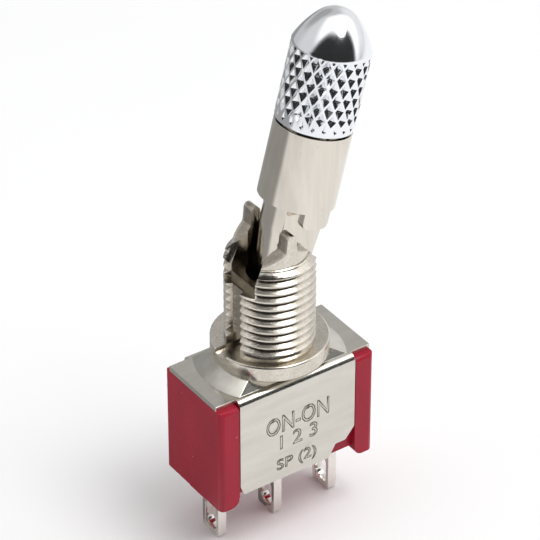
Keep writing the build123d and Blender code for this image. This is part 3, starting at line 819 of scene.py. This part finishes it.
# %% Soften the plain pieces
# Each piece: its CAD node, its name, its body, its slot, its material and its edge's width.
SOFTENED = (("case", "moulded_case", "housing", "case_plastic", crimson_plastic, 0.09),
            ("lock_collar", "lock_sleeve", "lock", "nickel_plate", nickel_bright, 0.06),
            ("lever", "lever_shank", "toggle", "nickel_plate", nickel_bright, 0.03),
            ("terminal_left", "blade_left", "housing", "silver_plate", tinned, 0.06),
            ("terminal_center", "blade_center", "housing", "silver_plate", tinned, 0.06),
            ("terminal_right", "blade_right", "housing", "silver_plate", tinned, 0.06))
for node, name, body, slot, material, width in SOFTENED:
    place(soften(cad_copy(node, name), width), body, node, material)

# %% [markdown]
# ## The pieces inside
# The springs, the plunger, the contacts and the seal keep their CAD meshes, with a material
# each, since the case and the cap hide nearly all of them.

# %% Finish the pieces inside
INSIDE = {"pivot_pin": spring_steel, "lock_spring": spring_steel, "lock_washer": nickel_bright,
          "plunger": dark_plastic, "plunger_spring": spring_steel, "contactor": silver_plate,
          "contact_left": silver_plate, "contact_right": silver_plate, "terminal_seal": amber_seal}
for node, material in INSIDE.items():
    mesh = frame["nodes"][node].data
    mesh.materials.clear()
    mesh.materials.append(material)
print("materials on", len(INSIDE), "inner pieces")


# %% [markdown]
# ## The floor
# A wide sheet of pale paper lies under the terminals and keeps the switch's soft shadow. The
# metal mirrors it too, and would look flat if the sheet were equally bright all round. So one
# side of the sheet has a painted shade that only mirror rays see, and the metal shows it as a
# painted dark reflection.

# %% The pale floor
PAINTED_SHADE_SIDE = {"azimuth": 113, "outer": 60, "inner": 46, "level": 0.34}
FLOOR = {"radius": 1.2, "steps": 96, "roughness": 0.9, "mottle": 0.05}


def direction(azimuth, elevation):
    """A unit vector from an azimuth and an elevation in degrees."""
    a, e = math.radians(azimuth), math.radians(elevation)
    return (math.cos(a) * math.cos(e), math.sin(a) * math.cos(e), math.sin(e))


def zone(tree, view, azimuth, elevation, outer, inner):
    """A soft round mask about a direction, from 0 outside to 1 inside."""
    aim = add(tree, "ShaderNodeVectorMath", {0: view}, {1: direction(azimuth, elevation)},
              operation="DOT_PRODUCT").outputs["Value"]
    return add(tree, "ShaderNodeMapRange", {"Value": aim},
               {"From Min": math.cos(math.radians(outer)), "From Max": math.cos(math.radians(inner))},
               interpolation_type="SMOOTHSTEP").outputs[0]


def make_floor():
    """A plain pale sheet under the object, with a painted shade on one side for mirror rays."""
    made, tree, shader, where = surface("pale_paper", 0.0, FLOOR["roughness"])
    mottle = add(tree, "ShaderNodeTexNoise", {"Vector": where}, {"Scale": FLOOR["mottle"]})
    paper = blend(tree, mottle.outputs["Fac"], rgb(251, 251, 251), rgb(249, 249, 250))
    flat = add(tree, "ShaderNodeVectorMath", {0: where}, {1: (1, 1, 0)}, operation="MULTIPLY")
    outward = add(tree, "ShaderNodeVectorMath", {0: flat.outputs[0]}, operation="NORMALIZE")
    # Painted shade: one side of the floor is darker for mirror rays only, a painted reflection on the
    # metal.
    side = zone(tree, outward.outputs[0], PAINTED_SHADE_SIDE["azimuth"], 0,
                PAINTED_SHADE_SIDE["outer"], PAINTED_SHADE_SIDE["inner"])
    glossy = add(tree, "ShaderNodeLightPath").outputs["Is Glossy Ray"]
    shade = math_node(tree, "MULTIPLY", side, glossy)
    tree.links.new(blend(tree, shade, paper, grey(PAINTED_SHADE_SIDE["level"])),
                   shader.inputs["Base Color"])
    bm = bmesh.new()
    bmesh.ops.create_circle(bm, cap_ends=True, segments=FLOOR["steps"], radius=FLOOR["radius"])
    bmesh.ops.translate(bm, verts=bm.verts, vec=(0, 0, cad_box[0].z))
    mesh = bpy.data.meshes.new("floor")
    bm.to_mesh(mesh)
    bm.free()
    mesh.materials.append(made)
    floor = add_object("floor", mesh)


make_floor()
print("floor at", round(cad_box[0].z, 5), "m")

# %% [markdown]
# ## The room and the lamp
# Bare metal shows what stands around it more than its own colour, so it needs a room to
# mirror. Soft round zones in the world are enough for that: a grey room with a bright softbox
# and skylight, a window, and a dark doorway with its corners. One soft lamp in the softbox
# gives the shadow. The camera itself sees a plain pale backdrop instead of the room.

# %% The room and the lamp
# Each zone: its name, azimuth, elevation, outer and inner angle in degrees, and its level.
ZONES = (("side_wall", 172, 38, 58, 34, 0.72),
         ("back_wall", 86, 33, 26, 16, 0.40),
         ("window", 8, 12, 46, 22, 0.90),
         ("softbox", -62, 48, 58, 36, 1.35),
         ("skylight", -130, 70, 46, 20, 1.35),
         ("doorway", -135, 16, 53, 42, 0.03),
         ("dark_corner", -99, 14, 49, 38, 0.03),
         ("side_door", -78, 21, 35, 25, 0.03))
ROOM_LEVEL = 0.58
BACKDROP = 0.99
KEY_LAMP = {"azimuth": -60, "elevation": 62, "distance": 0.5, "size": 0.28, "power": 1.12}


def make_room():
    """A grey room with a softbox and a dark doorway; the camera sees a pale backdrop."""
    world = bpy.data.worlds.new("pale_room")
    scene.world = world
    world.use_nodes = True
    tree = world.node_tree
    view = add(tree, "ShaderNodeTexCoord").outputs["Generated"]
    level = grey(ROOM_LEVEL)
    for name, azimuth, elevation, outer, inner, target in ZONES:
        mask = zone(tree, view, azimuth, elevation, outer, inner)
        level = blend(tree, mask, level, grey(target))
    seen = add(tree, "ShaderNodeLightPath").outputs["Is Camera Ray"]
    tree.links.new(blend(tree, seen, level, grey(BACKDROP)),
                   tree.nodes["Background"].inputs["Color"])


def add_lamp(name, azimuth, elevation, distance, size, power):
    """A large soft lamp aimed at the object."""
    data = bpy.data.lights.new(name, "AREA")
    data.shape = "DISK"
    data.size = size
    data.energy = power
    lamp = bpy.data.objects.new(name, data)
    scene.collection.objects.link(lamp)
    away = Vector(direction(azimuth, elevation))
    lamp.matrix_world = (Matrix.Translation(away * distance)
                         @ (-away).to_track_quat("-Z", "Y").to_matrix().to_4x4())


make_room()
add_lamp("key", **KEY_LAMP)
print("room with", len(ZONES), "zones and one lamp")
